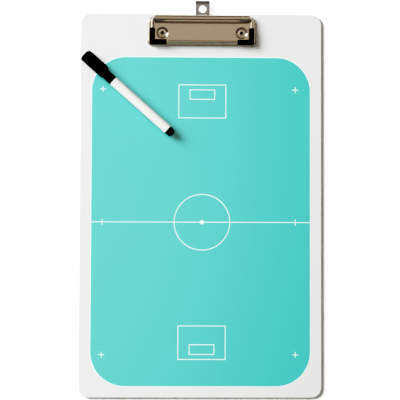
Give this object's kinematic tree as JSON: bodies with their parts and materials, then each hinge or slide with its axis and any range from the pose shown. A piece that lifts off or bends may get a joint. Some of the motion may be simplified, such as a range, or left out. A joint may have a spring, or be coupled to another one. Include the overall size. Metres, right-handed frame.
{
  "type": "tactics board",
  "caption": "Flat dry-erase tactics board printed with a rounded sports pitch, with a wire-bail paper clip, a pull-out hanging tab and a capped marker lying on it.",
  "frame": {"origin": "centre of the board's back face, at the plane it lies on", "axes": "+Y along the board towards the clip, +X to the right of the pitch, +Z out of the printed face"},
  "size_m": [0.252, 0.413, 0.0148],
  "materials": {
    "core_board": "fibreboard with white-lacquered edges",
    "white_laminate": "satin white dry-erase laminate",
    "turquoise_print": "satin turquoise print under a dry-erase coat",
    "nickel_plate": "nickel-plated sheet steel",
    "nickel_wire": "nickel-plated spring wire",
    "nickel_rivet": "nickel-plated steel",
    "black_rubber": "smooth matt black rubber",
    "black_plastic": "moulded black polypropylene",
    "white_plastic": "glossy white polypropylene",
    "nib_fibre": "pressed fibre soaked with black ink",
    "reservoir_fibre": "bonded fibre soaked with black ink",
    "clear_film": "thin polypropylene film"
  },
  "bodies": {
    "board": {"board_core": "core_board", "front_laminate": "white_laminate", "back_laminate": "white_laminate", "field_print": "turquoise_print", "clip_plate": "nickel_plate", "left_rivet": "nickel_rivet", "right_rivet": "nickel_rivet"},
    "bail": {"bail_wire": "nickel_wire", "left_corner_grip": "black_rubber", "right_corner_grip": "black_rubber"},
    "hanger": {"hang_tab": "nickel_plate"},
    "marker": {"marker_barrel": "white_plastic", "marker_front_section": "black_plastic", "marker_nib": "nib_fibre", "marker_reservoir": "reservoir_fibre", "marker_reservoir_sheath": "clear_film", "marker_end_plug": "black_plastic"},
    "cap": {"marker_cap": "black_plastic"}
  },
  "joints": [
    {"name": "bail_lift", "type": "hinge", "parent": "board", "child": "bail", "pos_m": [0.0006, 0.1942, 0.0079], "axis": [-1, 0, 0], "range_deg": [0, 85], "stiffness_Nm_per_rad": 0.15, "springref_deg": -68.75},
    {"name": "hanger_push", "type": "slide", "parent": "board", "child": "hanger", "axis": [0, -1, 0], "range_m": [0, 0.012]},
    {"name": "marker_pick_up", "type": "slide", "parent": "board", "child": "marker", "axis": [0, 0, 1], "range_m": [0, 0.05]},
    {"name": "cap_pull", "type": "slide", "parent": "marker", "child": "cap", "axis": [-0.7485, 0.6631, 0], "range_m": [0, 0.03]}
  ]
}
